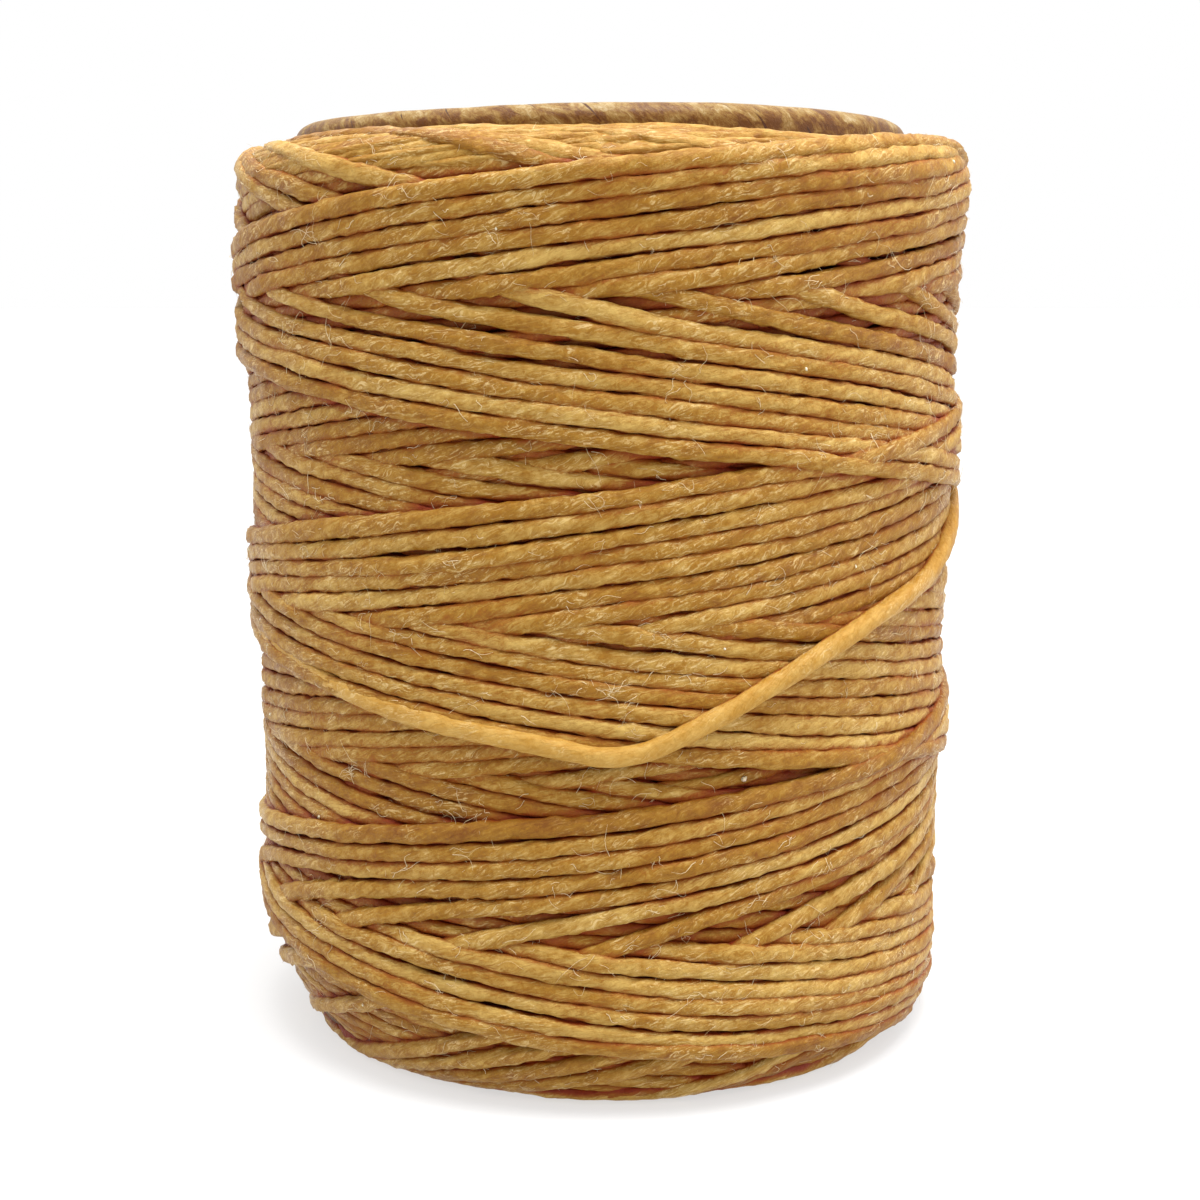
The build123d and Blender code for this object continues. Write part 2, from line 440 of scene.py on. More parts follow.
def thread_skin(random, points, normals, start, sides, width, thickness, fray, depth_at):
    """Rings of points round a thread, with the attributes its material reads.

    start is how far along the whole thread the first point lies, so the twist runs on. depth_at
    gives how deep a point lies between the turns round it, from its place across the thread and its
    rise over the thread's middle; the material paints shade on the deeper places."""
    along = start + lengths_along(points)
    across, outward = across_and_outward(points, normals)
    count = len(points)
    spacing = (along[-1] - along[0]) / (count - 1)
    thick = 1 + uneven(random, count, spacing, THICKNESS_ERRORS)
    turn = np.arange(sides) * tau / sides
    flat = np.sign(np.cos(turn)) * np.abs(np.cos(turn)) ** SQUARENESS
    high = np.sign(np.sin(turn)) * np.abs(np.sin(turn)) ** SQUARENESS
    fibre_turn = turn[None, :] - TWIST * along[:, None]
    frayed = random.standard_normal((count, sides)) * fray
    frayed[1:-1] = 0.25 * frayed[:-2] + 0.5 * frayed[1:-1] + 0.25 * frayed[2:]
    reach = thick[:, None] * (1 + 0.02 * np.cos(3 * fibre_turn))
    side = across[:, None, :] * (reach * flat * width / 2 + 1.6 * frayed * flat)[..., None]
    rise = outward[:, None, :] * (reach * high * thickness / 2 + frayed * high)[..., None]
    whole = np.broadcast_to(along[:, None], fibre_turn.shape)
    radius = width / 2
    fibre = np.stack([whole, radius * np.cos(fibre_turn), radius * np.sin(fibre_turn)], -1)
    tint = 0.5 + uneven(random, count, spacing, TINT_ERRORS)
    depth = depth_at(flat * width / 2, high * thickness / 2)
    attributes = {
        "fibre": fibre,
        "depth": np.broadcast_to(depth, fibre_turn.shape),
        "tint": np.broadcast_to(tint[:, None], fibre_turn.shape),
    }
    return points[:, None, :] + side + rise, attributes


def pressed_on_floor(points):
    """The points, with what would sag onto the floor pressed flat just over it."""
    height = points[..., 2]
    pressed = FLOOR_GAP + PRESSED_DEPTH * np.exp((height - FLOOR_GAP) / PRESSED_DEPTH - 1)
    points[..., 2] = np.where(height < FLOOR_GAP + PRESSED_DEPTH, pressed, height)
    return points


def surface_level(ground, angle, way):
    """Level of the finished winding at these places."""
    column = np.mod(np.rint(angle * COLUMNS_PER_DEGREE).astype(int), COLUMNS)
    row = np.clip(np.rint((way - FIRST_ROW) / CELL).astype(int), 0, ROWS - 1)
    return ground[column, row]


def mean_surface(ground):
    """The height map evened out over a turn's width, and over three degrees round the spool."""
    near = range(-BESIDE, BESIDE + 1)
    for axis in (0, 1):
        ground = sum(np.roll(ground, k, axis) for k in near) / len(near)
    return ground


def make_turns(random, angle, way, level, ground, material):
    """The wound thread in pieces of several turns, each its own mesh."""
    around = mean_surface(ground)
    centre, _ = on_package(angle, way, level)
    along = lengths_along(centre)
    shown = along[TURNS_UNDERNEATH * 360]
    number = 0
    for (start, end), (pieces, step, sides) in zip(
        ((0, shown), (shown, along[-1])), (UNDERNEATH, SHOWN)
    ):
        places = np.linspace(start, end, int((end - start) / step) + 1)
        at = np.interp(places, along, angle), np.interp(places, along, way)
        at_level = np.interp(places, along, level)
        points, normals = on_package(*at, at_level)
        middle_angle, middle_way, middle_level = at[0][:, None], at[1][:, None], at_level[:, None]
        # Painted shade: how deep each point lies under the rows round it, less on the open top end,
        # sets how much the material darkens it.
        opened = OPEN_END * ease((middle_way - OPEN_END_START) / OPEN_END_WIDTH)

        def depth_at(across, rise):
            over = surface_level(around, middle_angle, middle_way - across) - middle_level
            return np.minimum(over, DEEPEST) - rise - opened

        skin, attributes = thread_skin(
            random, points, normals, start, sides, PRESSED_WIDTH, THREAD_THICKNESS, 0.04, depth_at
        )
        cuts = np.linspace(0, len(points) - 1, pieces + 1).astype(int)
        for first, last in zip(cuts, cuts[1:] + 1):
            number += 1
            points = pressed_on_floor(skin[first:last])
            faces = tube_faces(last - first, sides)
            part = {label: values[first:last] for label, values in attributes.items()}
            name = f"thread_turns_{number:02d}"
            new_mesh(name, points, faces, material, ["winding_outer_layers"], part)
    return along[-1]


def side_radius(height):
    """Radius of the package's side at a height."""
    return BODY_RADIUS + SHOULDER_SWELL * ((height - SIDE_BOTTOM) / (SIDE_TOP - SIDE_BOTTOM)) ** 2


def last_wrap_points():
    """The control points of the last wrap."""
    points = []
    for angle, height, lift in LAST_WRAP_ROUTE:
        reach = side_radius(height) + LAST_WRAP_DIAMETER / 2 + LAST_WRAP_CLEARANCE
        reach = reach / cos(radians(WIDEST_HALF_STEP)) + lift
        points.append((reach * sin(radians(angle)), -reach * cos(radians(angle)), height))
    return points


def smooth_line(name, points):
    """Points along the NURBS curve with these control points, all in millimetres."""
    curve = bpy.data.curves.new(name, "CURVE")
    curve.dimensions = "3D"
    curve.resolution_u = 24
    spline = curve.splines.new("NURBS")
    spline.points.add(len(points) - 1)
    for point, place in zip(spline.points, points):
        point.co = (*(Vector(place) * MM), 1)
    spline.order_u = 3
    spline.use_endpoint_u = True
    route = bpy.data.objects.new(name, curve)
    line = bpy.data.meshes.new_from_object(route)
    places = np.array([vertex.co for vertex in line.vertices]) / MM
    bpy.data.objects.remove(route)
    bpy.data.meshes.remove(line)
    return places


def make_last_wrap(random, start, material):
    """The last wrap of the thread, loose on top of the others."""
    route = smooth_line("last_wrap_route", last_wrap_points())
    along = lengths_along(route)
    places = np.linspace(0, along[-1], int(along[-1] / 0.3) + 1)
    points = np.stack([np.interp(places, along, route[:, axis]) for axis in range(3)], 1)
    normals = points * (1, 1, 0)
    normals /= np.linalg.norm(normals, axis=1)[:, None]

    # Painted shade on the last wrap's lower side, where it lies against the rows.
    def depth_at(across, rise):
        return -0.1 - rise

    # It starts as flat and as dark as the turns, where the end of the winding meets it.
    near_start = np.exp(-places / 2.5)[:, None]
    sides, fray = 24, 0.02
    width = 0.9 * LAST_WRAP_DIAMETER
    thickness = 0.88 * LAST_WRAP_DIAMETER - 0.11 * near_start
    skin, attributes = thread_skin(
        random, points, normals, start, sides, width, thickness, fray, depth_at
    )
    attributes["tint"] = attributes["tint"] - 0.35 * near_start
    faces, replaced = tube_faces(len(points), sides), ["thread_last_wrap"]
    piece = new_mesh("last_wrap_thread", skin, faces, material, replaced, attributes)


# ---- materials
# Dark, middle and light tones of the linen, first of the turns, then of the smooth last wrap.
LINEN_TONES = ((0.19, 0.06, 0.0025), (0.315, 0.144, 0.0105), (0.54, 0.345, 0.088))
SMOOTH_TONES = ((0.28, 0.115, 0.008), (0.41, 0.2, 0.022), (0.54, 0.32, 0.075))
LINEN_PALE = (0.68, 0.5, 0.24)  # tufts of fibre and wax
LINEN_PAINTED_SHADE = (0.26, 0.066, 0.002)  # painted shade on the sides of a row, and on turns that lie deeper
LINEN_PAINTED_GAP_SHADOW = (0.21, 0.02, 0.001)  # painted red-brown shadow at the bottom of the gaps between rows
# Painted shade in thin dark creases of the kraft paper.
KRAFT_CREASE_SHADE = (0.06, 0.018, 0.004)
WHITE = (1.0, 1.0, 1.0, 1.0)
FLOOR_GLOW = 0.6


class Nodes:
    """Short ways to add nodes to a material or a world."""

    def __init__(self, owner):
        owner.use_nodes = True
        self.tree = owner.node_tree

    def add(self, kind, links=None, **settings):
        """A node, with settings set on it and links or values put into its inputs."""
        node = self.tree.nodes.new("ShaderNode" + kind)
        for name, value in settings.items():
            setattr(node, name, value)
        for socket, value in (links or {}).items():
            if isinstance(value, bpy.types.NodeSocket):
                self.tree.links.new(value, node.inputs[socket])
            else:
                node.inputs[socket].default_value = value
        return node

    def attribute(self, name, output="Vector"):
        """A value stored on the mesh."""
        return self.add("Attribute", attribute_name=name).outputs[output]

    def place(self, output="Object"):
        """Coordinates of the shaded place."""
        return self.add("TexCoord").outputs[output]

    def scaled(self, vector, scale, turn=0.0):
        """The vector turned about Z, then scaled on each axis."""
        if turn:
            links = {"Vector": vector, "Rotation": (0, 0, turn)}
            vector = self.add("Mapping", links).outputs["Vector"]
        return self.add("Mapping", {"Vector": vector, "Scale": scale}).outputs["Vector"]

    def noise(self, vector, scale, detail=3.0, roughness=0.55, distortion=0.0):
        """A noise pattern's value, from 0 to 1 and mostly near the middle."""
        links = {"Vector": vector, "Scale": scale, "Detail": detail}
        links.update({"Roughness": roughness, "Distortion": distortion})
        return self.add("TexNoise", links).outputs["Fac"]

    def spread(self, value, reach):
        """A vector with the value, centred and scaled, on its second and third axes."""
        moved = self.math("MULTIPLY", self.math("SUBTRACT", value, 0.5), reach)
        return self.add("CombineXYZ", {"Y": moved, "Z": moved}).outputs["Vector"]

    def ramp(self, value, stops):
        """Colours over a value, from (place, colour) stops."""
        node = self.add("ValToRGB", {"Fac": value})
        elements = node.color_ramp.elements
        while len(elements) < len(stops):
            elements.new(0.5)
        for element, (place, colour) in zip(elements, stops):
            element.position = place
            element.color = (*colour, 1)
        return node.outputs["Color"]

    def math(self, operation, *values):
        """The result of an operation on values or links."""
        return self.add("Math", dict(enumerate(values)), operation=operation).outputs[0]

    def between(self, value, low, high, to_low=0.0, to_high=1.0):
        """The value's range low to high smoothly stretched to another."""
        links = {"Value": value, "From Min": low, "From Max": high}
        links.update({"To Min": to_low, "To Max": to_high})
        return self.add("MapRange", links, interpolation_type="SMOOTHSTEP").outputs["Result"]

    def mix(self, share, first, second):
        """A colour mixed with that share of a second, constant one."""
        links = {0: share, 6: first, 7: (*second, 1)}
        return self.add("Mix", links, data_type="RGBA").outputs[2]

    def bump(self, height, depth):
        """A bump whose full height is that many millimetres."""
        links = {"Height": height, "Strength": 1.0, "Distance": depth * MM}
        return self.add("Bump", links).outputs["Normal"]


class Material(Nodes):
    """A material with a Principled shader."""

    def __init__(self, name, **values):
        self.material = bpy.data.materials.new(name)
        super().__init__(self.material)
        self.shader = self.tree.nodes["Principled BSDF"]
        for socket, value in values.items():
            self.shader.inputs[socket.replace("_", " ")].default_value = value

    def drive(self, socket, source):
        """Link a node's output into the shader."""
        self.tree.links.new(source, self.shader.inputs[socket])


def linen_material(name, dark, middle, light):
    """Waxed linen: fine fibres twisted round the thread, wax in patches, painted red-brown shade in
    gaps.
    """
    linen = Material(
        name,
        Roughness=0.5,
        Sheen_Weight=0.02,
        Sheen_Roughness=0.4,
        Sheen_Tint=(1.0, 0.85, 0.6, 1.0),
        Specular_IOR_Level=0.22,
    )
    fibre = linen.attribute("fibre")
    place = linen.place()
    strays = linen.noise(linen.scaled(fibre, (0.8, 1.5, 1.5)), 1.0, 2.0)
    bent = linen.add("VectorMath", {0: fibre, 1: linen.spread(strays, 0.9)}, operation="ADD")
    fine = linen.noise(linen.scaled(bent.outputs[0], (1.1, 8.5, 8.5)), 1.0, 5.0, 0.72, 0.35)
    strands = linen.noise(linen.scaled(fibre, (0.35, 2.2, 2.2)), 1.0, 2.0, 0.5)
    wax = linen.noise(place, 260.0, 4.0, 0.65, 0.6)
    patches = linen.noise(place, 1300.0, 4.0, 0.65, 0.4)
    tint = linen.attribute("tint", "Fac")
    shade = linen.math("MULTIPLY", fine, 0.3)
    shade = linen.math("MULTIPLY_ADD", strands, 0.2, shade)
    shade = linen.math("MULTIPLY_ADD", patches, 0.26, shade)
    relief = linen.math("MULTIPLY_ADD", linen.noise(place, 3600.0, 3.0), 0.35, shade)
    shade = linen.math("MULTIPLY_ADD", tint, 0.24, shade)
    colour = linen.ramp(shade, [(0.36, dark), (0.48, middle), (0.62, light)])
    pale = linen.math("MULTIPLY", linen.between(wax, 0.42, 0.6), linen.between(fine, 0.52, 0.64))
    colour = linen.mix(linen.math("MULTIPLY", pale, 0.7), colour, LINEN_PALE)
    # Painted shade: darker and redder on the sides of rows and where a turn lies deep between
    # others, with edges made ragged by the noise.
    depth = linen.attribute("depth", "Fac")
    depth = linen.math("MULTIPLY_ADD", linen.math("SUBTRACT", fine, 0.5), -0.4, depth)
    depth = linen.math("MULTIPLY_ADD", linen.math("SUBTRACT", wax, 0.5), -0.3, depth)
    colour = linen.mix(linen.between(depth, -0.08, 0.14), colour, LINEN_PAINTED_SHADE)
    colour = linen.mix(linen.between(depth, 0.07, 0.28), colour, LINEN_PAINTED_GAP_SHADOW)
    linen.drive("Base Color", colour)
    linen.drive("Roughness", linen.between(wax, 0.35, 0.65, 0.55, 0.36))
    linen.drive("Normal", linen.bump(relief, 0.2))
    return linen.material


def hair_material():
    """Loose linen fibres, pale and slightly shiny."""
    hair = Material("loose_fibre", Roughness=0.45, Sheen_Weight=0.3)
    shade = hair.noise(hair.place(), 700.0)
    stops = [(0.35, (0.6, 0.42, 0.18)), (0.65, (0.85, 0.72, 0.46))]
    hair.drive("Base Color", hair.ramp(shade, stops))
    return hair.material


def crumb_material():
    """Crumbs of wax."""
    wax = Material("wax_crumb", Roughness=0.4, Subsurface_Weight=0.2, Subsurface_Scale=0.0005)
    shade = wax.noise(wax.place(), 3000.0)
    stops = [(0.3, (0.66, 0.52, 0.32)), (0.7, (0.88, 0.82, 0.68))]
    wax.drive("Base Color", wax.ramp(shade, stops))
    return wax.material


def kraft_material():
    """Wax-soaked kraft paper: blotches and slanting streaks, palest on the crest of the top rim."""
    kraft = Material("waxed_kraft", Specular_IOR_Level=0.14, Coat_Weight=0.05, Coat_Roughness=0.2)
    sheet = kraft.attribute("sheet")
    streaks = kraft.noise(kraft.scaled(sheet, (1.8, 3.6, 1.0), radians(42)), 1.0, 5.0, 0.75, 1.2)
    blotches = kraft.noise(kraft.scaled(sheet, (0.8, 1.1, 1.0), radians(42)), 0.8, 4.0, 0.6, 0.8)
    creases = kraft.noise(kraft.scaled(sheet, (0.3, 2.6, 1.0), radians(50)), 1.0, 2.0, 0.5)
    shade = kraft.math("MULTIPLY", blotches, 0.6)
    shade = kraft.math("MULTIPLY_ADD", streaks, 0.4, shade)
    # Darker towards the bottom of the rim strip, paler towards its crest.
    height = kraft.add("SeparateXYZ", {"Vector": kraft.place()}).outputs["Z"]
    height_tone = kraft.between(height, 0.0532, 0.0541, -0.05, 0.03)
    shade = kraft.math("ADD", shade, height_tone)
    stops = [
        (0.4, (0.11, 0.037, 0.0035)),
        (0.47, (0.185, 0.086, 0.015)),
        (0.54, (0.265, 0.16, 0.045)),
        (0.64, (0.4, 0.305, 0.165)),
    ]
    colour = kraft.ramp(shade, stops)
    colour = kraft.mix(kraft.between(creases, 0.35, 0.31), colour, KRAFT_CREASE_SHADE)
    kraft.drive("Base Color", colour)
    kraft.drive("Roughness", kraft.between(blotches, 0.35, 0.65, 0.35, 0.55))
    kraft.drive("Normal", kraft.bump(streaks, 0.06))
    return kraft.material


def liner_material():
    """Smooth grey-brown liner paper, faintly fibrous."""
    liner = Material("liner_paper", Roughness=0.7)
    sheet = liner.attribute("sheet")
    fibres = liner.noise(liner.scaled(sheet, (1.4, 6.0, 1.0), radians(-32)), 1.0, 4.0, 0.7)
    cloud = liner.noise(sheet, 0.25, 3.0)
    shade = liner.math("MULTIPLY_ADD", cloud, 0.5, liner.math("MULTIPLY", fibres, 0.5))
    stops = [(0.35, (0.3, 0.19, 0.11)), (0.5, (0.44, 0.3, 0.18)), (0.65, (0.56, 0.41, 0.27))]
    liner.drive("Base Color", liner.ramp(shade, stops))
    liner.drive("Roughness", liner.between(fibres, 0.3, 0.7, 0.6, 0.8))
    liner.drive("Normal", liner.bump(fibres, 0.03))
    return liner.material


def board_material():
    """Grey-brown board, seen only where the plies' edges show."""
    board = Material("tube_board", Roughness=0.85)
    fibres = board.noise(board.scaled(board.place(), (1, 1, 6)), 500.0, 4.0)
    stops = [(0.35, (0.3, 0.22, 0.15)), (0.65, (0.5, 0.4, 0.29))]
    board.drive("Base Color", board.ramp(fibres, stops))
    board.drive("Normal", board.bump(fibres, 0.05))
    return board.material


def floor_material():
    """A plain pale floor, very faintly uneven, lit a little from below as a light table is."""
    floor = Material(
        "pale_floor",
        Roughness=0.8,
        Specular_IOR_Level=0.1,
        Emission_Color=WHITE,
        Emission_Strength=FLOOR_GLOW,
    )
    shade = floor.noise(floor.place(), 3.0)
    stops = [(0.2, (0.29, 0.29, 0.29)), (0.8, (0.31, 0.31, 0.31))]
    floor.drive("Base Color", floor.ramp(shade, stops))
    return floor.material


# ---- the paper tube
PAPER_SEAM = radians(205)  # where the sheet's edge overlaps its start
PAPER_THICKNESS = 0.3
RIM_OUTER_RADIUS = 1.0
RIM_INNER_RADIUS = 0.6
RIM_WEAR = 0.02  # how far the top rim is worn down all round
RIM_DENT = 0.2  # how much further it is worn down to the left
RIM_DENT_PLACE = -0.65  # and where, as a share of its radius
RIM_DENT_WIDTH = 0.5
RIM_REACH = 2.5  # how far from the rim its ripples have faded out
TURN_IN_LENGTH = 4.0
PLEATS = 46
PLEAT_HALF_WIDTH = 0.012  # in radians
LINER_PITCH = 58.0  # height over which the liner's seam winds round once
LINER_STEP = 0.1  # how far the strip's edge stands out
LINER_STEP_WIDTH = 0.35


def revolved(name, profile, columns, material, replaced, wave):
    """A closed section turned round the axis.

    wave moves the points, given their angle, radius and height. The attribute sheet is the place
    on the paper: how far round it lies, and how far along the section."""
    run = lengths_along(np.column_stack([profile, np.zeros(len(profile))]))
    angle = PAPER_SEAM + np.arange(columns) * tau / columns
    radius, height = wave(angle[:, None], profile[None, :, 0], profile[None, :, 1])
    radius, height = np.broadcast_arrays(radius, height)
    turned = radius * np.sin(angle)[:, None], -radius * np.cos(angle)[:, None]
    points = np.stack([*turned, height], -1)
    faces = ring_faces(columns, len(profile))
    around, along = np.broadcast_arrays(angle[:, None] * TUBE_RADIUS, run[None, :])
    sheet = np.stack([around, along, np.zeros(radius.shape)], -1)
    new_mesh(name, points, [faces], material, replaced, {"sheet": sheet})


def rolled_profile():
    """Half section of the wrap: up the outside, over the rims, and a little way into the bore."""
    outer_radii, inner_radii = (RIM_OUTER_RADIUS,) * 2, (RIM_INNER_RADIUS,) * 2
    outer_middle, inner_middle = TUBE_RADIUS - RIM_OUTER_RADIUS, BORE_RADIUS + RIM_INNER_RADIUS
    outer_top, inner_top = TUBE_LENGTH - RIM_OUTER_RADIUS, TUBE_LENGTH - RIM_INNER_RADIUS
    turn_in_top = TUBE_LENGTH - TURN_IN_LENGTH
    back_radius = BORE_RADIUS + PAPER_THICKNESS

    def rounded(centre, radii, start):
        return arc(centre, radii, start, start + 91)[::9]

    return np.concatenate(
        [
            rounded((outer_middle, RIM_OUTER_RADIUS), outer_radii, -90),
            np.linspace((TUBE_RADIUS, RIM_OUTER_RADIUS), (TUBE_RADIUS, outer_top), 26)[1:-1],
            rounded((outer_middle, outer_top), outer_radii, 0),
            rounded((inner_middle, inner_top), inner_radii, 90),
            np.linspace((BORE_RADIUS, inner_top), (BORE_RADIUS, turn_in_top), 12)[1:],
            [(back_radius, turn_in_top), (back_radius, TURN_IN_LENGTH)],
            np.linspace((BORE_RADIUS, TURN_IN_LENGTH), (BORE_RADIUS, RIM_INNER_RADIUS), 12)[:-1],
            rounded((inner_middle, RIM_INNER_RADIUS), inner_radii, 180),
        ]
    )


def make_tube(random):
    """The tube's wrap and liner with the unevenness of rolled paper, and the board behind."""
    waves = [(k, random.uniform(0, tau), random.uniform(0.3, 1)) for k in range(2, 40)]
    pleats = random.uniform(0, tau, PLEATS)
    slants = random.uniform(-0.02, 0.05, PLEATS)
    depths = random.uniform(0.03, 0.12, PLEATS)

    def rolled(angle, radius, height):
        ripple = sum(share / k * np.cos(k * angle + phase) for k, phase, share in waves)
        from_rim = np.minimum(np.abs(height), np.abs(TUBE_LENGTH - height))
        at_rim = ease(1 - from_rim / RIM_REACH)
        off = (np.sin(angle) - RIM_DENT_PLACE) / RIM_DENT_WIDTH
        worn = RIM_WEAR + RIM_DENT * np.exp(-off * off)
        height = height + (height > TUBE_LENGTH / 2) * at_rim * (0.05 * ripple - worn)
        inside = ease((TUBE_RADIUS - 0.6 - radius) / 1.0)
        radius = radius + at_rim * 0.04 * ripple
        for place, slant, depth in zip(pleats, slants, depths):
            off = np.angle(np.exp(1j * (angle - place - slant * (from_rim - 1))))
            radius = radius + inside * at_rim * depth * np.exp(-((off / PLEAT_HALF_WIDTH) ** 2))
        edge = 0.1 * np.cos(9 * angle + 1) + 0.06 * np.cos(23 * angle + 4)
        edge = edge + 0.03 * np.cos(61 * angle)
        ragged = inside * ease((from_rim - TURN_IN_LENGTH + 1) / 1)
        height = height - ragged * edge * np.sign(TUBE_LENGTH / 2 - height)
        return radius, height

    profile, kraft = rolled_profile(), kraft_material()
    revolved("tube_wrap_rolled", profile, 900, kraft, ["tube_wrap"], rolled)

    low, high = TURN_IN_LENGTH - 0.6, TUBE_LENGTH - TURN_IN_LENGTH + 0.6
    inside = np.linspace((BORE_RADIUS + 0.08, low), (BORE_RADIUS + 0.08, high), 160)
    outside = np.array([(BORE_RADIUS + 0.28, high), (BORE_RADIUS + 0.28, low)])

    def seamed(angle, radius, height):
        seam = np.mod(angle / tau - height / LINER_PITCH, 1) * tau * BORE_RADIUS
        step = LINER_STEP * np.clip(1 - seam / LINER_STEP_WIDTH, 0, None)
        front = (radius < BORE_RADIUS + 0.2) * (height > low + 0.7) * (height < high - 0.7)
        return radius + step * front, height

    profile, liner = np.concatenate([inside, outside]), liner_material()
    revolved("tube_liner_wound", profile, 720, liner, ["tube_liner"], seamed)
    board = board_material()
    for ply in ("tube_ply_inner", "tube_ply_middle", "tube_ply_outer"):
        node = frame["nodes"][ply]
        node.data.materials.clear()
        node.data.materials.append(board)


# ---- what lies under the turns
BAND_PAIR = 8.5  # height of two bands of rows that slant opposite ways


def make_backing(material):
    """The layers under the modelled turns, as one closed ring with rows pressed into it."""
    way = np.linspace(-0.2, 54.4, 420)[None, :]
    columns = 540
    angle = (np.arange(columns) * 360.0 / columns)[:, None]
    slant = np.where(np.sin(way * tau / BAND_PAIR) > 0, 1, -1) * TURN_PITCH / 360
    rows = np.cos((way - slant * angle) * tau / ROW_SPACING)
    level = floor_level(angle, way) + 0.12 + 0.14 * rows
    points, _ = on_package(angle, way, level)
    # Painted shade: the ring is darker where it shows through the gaps on the side, lighter towards
    # the lit top end and the foot, and darker in the grooves of its pressed-in rows.
    lit = 0.4 * ease((way - SIDE_TOP + 2.5) / 2.5) + 0.2 * ease((8 - way) / 3)
    depth = 0.3 - lit - 0.1 * rows
    run, across = np.broadcast_arrays(BODY_RADIUS * np.radians(np.abs(angle - 180)), way)
    # Two more points close the section, and take the last point's attributes.
    attributes = {
        "fibre": np.pad(np.stack([run, across, depth], -1), ((0, 0), (0, 2), (0, 0)), "edge"),
        "depth": np.pad(depth, ((0, 0), (0, 2)), "edge"),
        "tint": np.full((columns, way.size + 2), 0.5),
    }
    closing_radius = TUBE_RADIUS + 0.05
    radius = np.hypot(points[..., 0], points[..., 1])
    points[..., :2] *= (np.maximum(radius, closing_radius) / radius)[..., None]
    closing = points[:, [-1, 0], :]
    closing_from = np.hypot(closing[..., 0], closing[..., 1])
    closing[..., :2] *= (closing_radius / closing_from)[..., None]
    points = np.concatenate([points, closing], 1)
    faces = [ring_faces(columns, points.shape[1])]
    replaced = ["winding_inner_layers", "winding_middle_layers"]
    new_mesh("thread_under_layers", points, faces, material, replaced, attributes)


# ---- loose fibres and crumbs
TUFTS = 1500
CRUMBS = 40


def many(name, parts, material):
    """One mesh from many short tubes, given as rings of points."""
    quads, caps, first = [], [], 0
    for part in parts:
        rings, sides = part.shape[:2]
        sheath, *ends = tube_faces(rings, sides, first)
        quads.append(sheath)
        caps.extend(ends)
        first += rings * sides
    points = np.concatenate([part.reshape(-1, 3) for part in parts])
    faces = [np.concatenate(quads), np.concatenate(caps)]
    new_mesh(name, points, faces, material)


def make_hairs(random, ground, material):
    """Fine fibres that have worked loose: tufts of short frizzy arcs and hooks over the rows."""
    hairs = []
    sides, steps = 3, 7
    t = np.linspace(0, 1, steps)
    for _ in range(TUFTS):
        tuft_angle = random.uniform(-180, 180)
        tuft_way = random.uniform(0.3, 54.0)
        tuft_heading = random.normal(0, 0.6) + random.choice([0, pi])
        for _ in range(random.integers(1, 5)):
            length = 0.25 + random.gamma(2.0, 0.36)
            heading = tuft_heading + random.normal(0, 0.5)
            curl, sway, frizz = (random.normal(0, spread) for spread in (0.9, 0.6, 0.5))
            bearing = heading + curl * t * length
            bearing = bearing + sway * np.sin(t * tau) + frizz * np.sin(t * 3 * tau)
            ahead = length / (steps - 1)
            sideways = np.concatenate([[0], np.cumsum(np.cos(bearing[:-1]))]) * ahead
            upward = np.concatenate([[0], np.cumsum(np.sin(bearing[:-1]))]) * ahead
            angles = tuft_angle + random.normal(0, 0.8) + np.degrees(sideways / BODY_RADIUS)
            ways = np.clip(tuft_way + random.normal(0, 0.3) + upward, -0.2, 54.5)
            level = soften(surface_level(ground, angles, ways).astype(float), 1.5)
            lift = random.uniform(0.01, 0.14) * np.sin(pi * t) ** 0.8
            if random.random() < 0.2:
                lift = random.uniform(0.1, 0.4) * t
            centre, normal = on_package(angles, ways, level + 0.015 + lift)
            across, outward = across_and_outward(centre, normal)
            ring = (np.arange(sides) * tau / sides)[None, :, None]
            round_it = across[:, None, :] * np.cos(ring) + outward[:, None, :] * np.sin(ring)
            taper = random.uniform(0.009, 0.021) * (1 - 0.6 * t)[:, None, None]
            hairs.append(pressed_on_floor(centre[:, None, :] + taper * round_it))
    many("loose_fibres", hairs, material)


def make_crumbs(random, ground, material):
    """Small white crumbs of wax caught on the rows."""
    crumbs = []
    rings, sides = 5, 8
    for _ in range(CRUMBS):
        angle = np.array([random.uniform(-180, 180)])
        way = np.array([random.uniform(1, 53)])
        centre, _ = on_package(angle, way, surface_level(ground, angle, way) + 0.02)
        size = random.uniform(0.03, 0.08) * (1 + random.random(3))
        polar = np.linspace(0.2, pi - 0.2, rings)[:, None]
        turn = np.arange(sides)[None, :] * tau / sides
        lumps = 1 + 0.25 * random.standard_normal((rings, sides))
        ball = [np.sin(polar) * np.cos(turn), np.sin(polar) * np.sin(turn), np.cos(polar)]
        ball = np.broadcast_arrays(*ball)
        crumbs.append(size * np.stack(ball, -1) * lumps[..., None] + centre[0])
    many("wax_crumbs", crumbs, material)


# ---- building it all
random = np.random.default_rng(20)
angle, way, level, ground = lay_thread(random)

# The end of the winding rises onto the rows to meet the last wrap.
first_point = np.array(last_wrap_points()[0])
meeting_level = np.hypot(first_point[0], first_point[1]) - side_radius(LAST_WRAP_ROUTE[0][1])
rising = ease((angle - WINDING_END + RISE_OUT) / RISE_OUT)
level += rising * (meeting_level - level)

linen = linen_material("waxed_linen", *LINEN_TONES)
smooth_linen = linen_material("waxed_linen_smooth", *SMOOTH_TONES)
wound_length = make_turns(random, angle, way, level, ground, linen)
make_last_wrap(random, wound_length, smooth_linen)
make_tube(random)
make_backing(linen)
make_hairs(random, ground, hair_material())
make_crumbs(random, ground, crumb_material())


# ---- floor, light and camera
# Sine of the elevation, and how bright the light from the surround is there.
SURROUND = [(0.0, 1.0), (0.16, 1.0), (0.3, 0.8), (0.6, 1.5), (0.95, 2.1)]
FRONT_DIMMING = 0.5  # share of that left in front of the spool


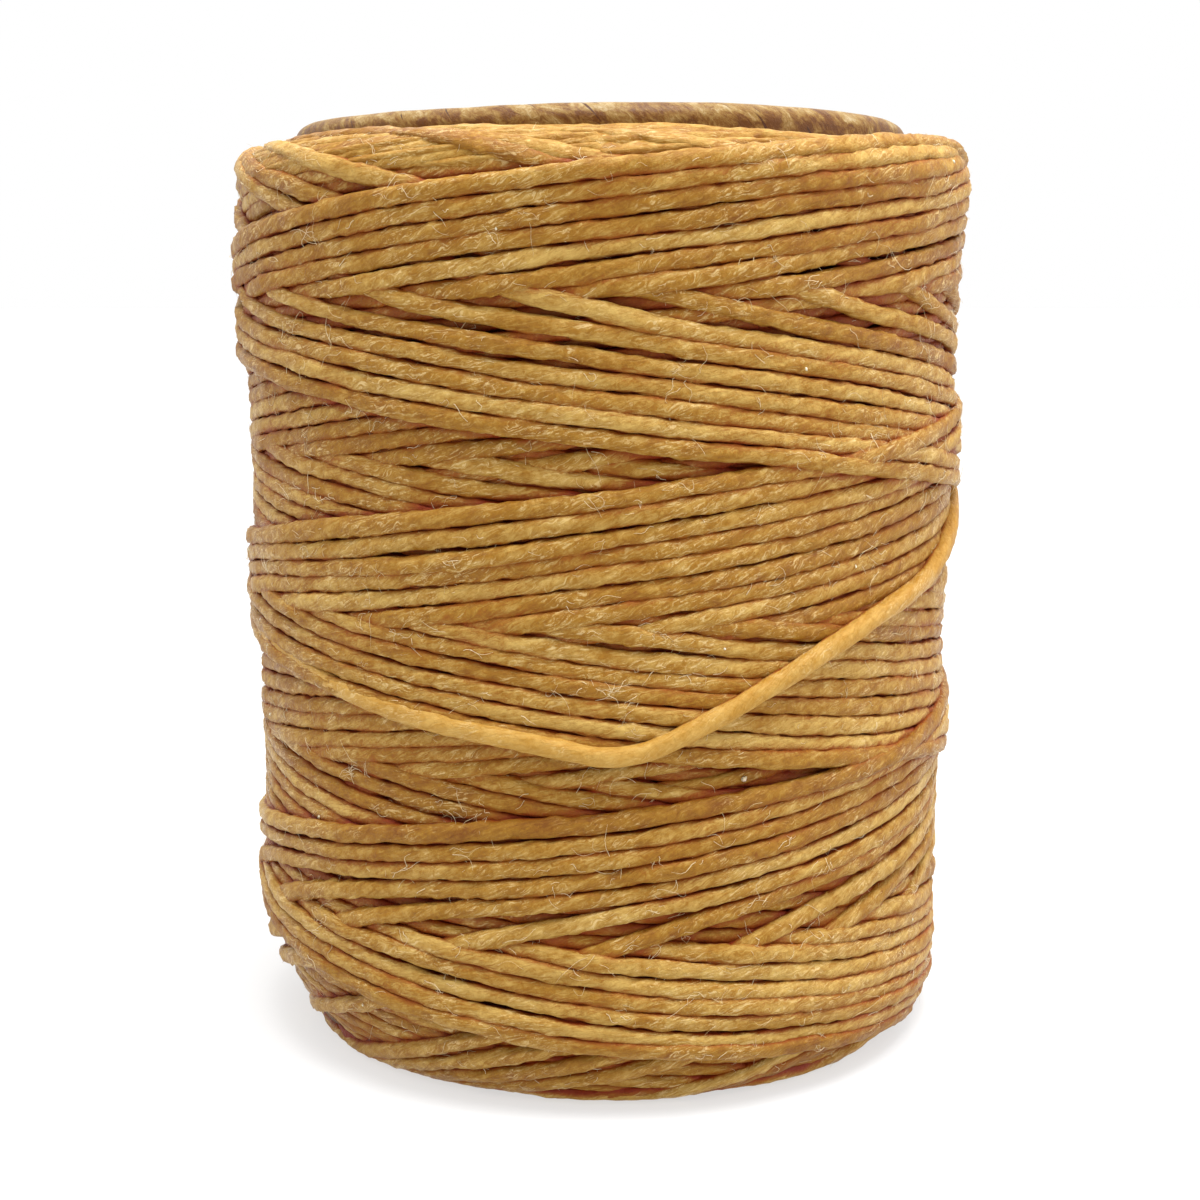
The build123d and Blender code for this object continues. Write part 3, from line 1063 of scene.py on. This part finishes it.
def make_floor():
    """A large round floor under the spool, 4 m in radius."""
    bpy.ops.mesh.primitive_circle_add(vertices=96, radius=4.0, fill_type="NGON")
    floor = bpy.context.object
    floor.name = "floor"
    floor.data.materials.append(floor_material())


def make_light(name, size, power, place, target=(0, 0, 0.027)):
    """A round soft light at a place, turned to the spool. Its size and place are in metres."""
    light = bpy.data.lights.new(name, "AREA")
    light.shape = "DISK"
    light.size = size
    light.energy = power
    lamp = bpy.data.objects.new(name, light)
    lamp.location = place
    lamp.rotation_euler = (Vector(place) - Vector(target)).to_track_quat("Z", "Y").to_euler()
    bpy.context.scene.collection.objects.link(lamp)


def make_surround():
    """A surround that looks white, and lights the spool less from the front than from above."""
    world = bpy.data.worlds.new("surround")
    bpy.context.scene.world = world
    nodes = Nodes(world)
    parts = nodes.add("SeparateXYZ", {"Vector": nodes.place("Generated")})
    stops = [(height, (brightness,) * 3) for height, brightness in SURROUND]
    strength = nodes.ramp(parts.outputs["Z"], stops)
    dimming = nodes.between(parts.outputs["Y"], -1.0, -0.2, FRONT_DIMMING, 1.0)
    strength = nodes.math("MULTIPLY", strength, dimming)
    strength = nodes.math("MAXIMUM", strength, nodes.add("LightPath").outputs["Is Camera Ray"])
    background = nodes.tree.nodes["Background"]
    background.inputs["Color"].default_value = WHITE
    nodes.tree.links.new(strength, background.inputs["Strength"])


def make_studio():
    """The floor, soft lights from above and from the right, and the white surround."""
    make_floor()
    make_light("overhead", 0.25, 2.0, (0.04, -0.06, 0.4))
    make_light("right", 0.25, 0.35, (0.32, -0.05, 0.15))
    make_surround()
    bpy.context.scene.view_settings.view_transform = "Standard"


def make_camera():
    """The camera, in front of the spool and a little above its middle."""
    camera = bpy.data.objects.new("camera", bpy.data.cameras.new("camera"))
    camera.data.sensor_width = CAMERA_SENSOR
    camera.data.lens = CAMERA_LENS
    camera.data.clip_start = 0.001
    camera.location = (CAMERA_ASIDE * MM, -CAMERA_DISTANCE * MM, CAMERA_HEIGHT * MM)
    camera.rotation_euler = (radians(90 - CAMERA_PITCH), 0, 0)
    bpy.context.scene.collection.objects.link(camera)
    bpy.context.scene.camera = camera


make_studio()
make_camera()
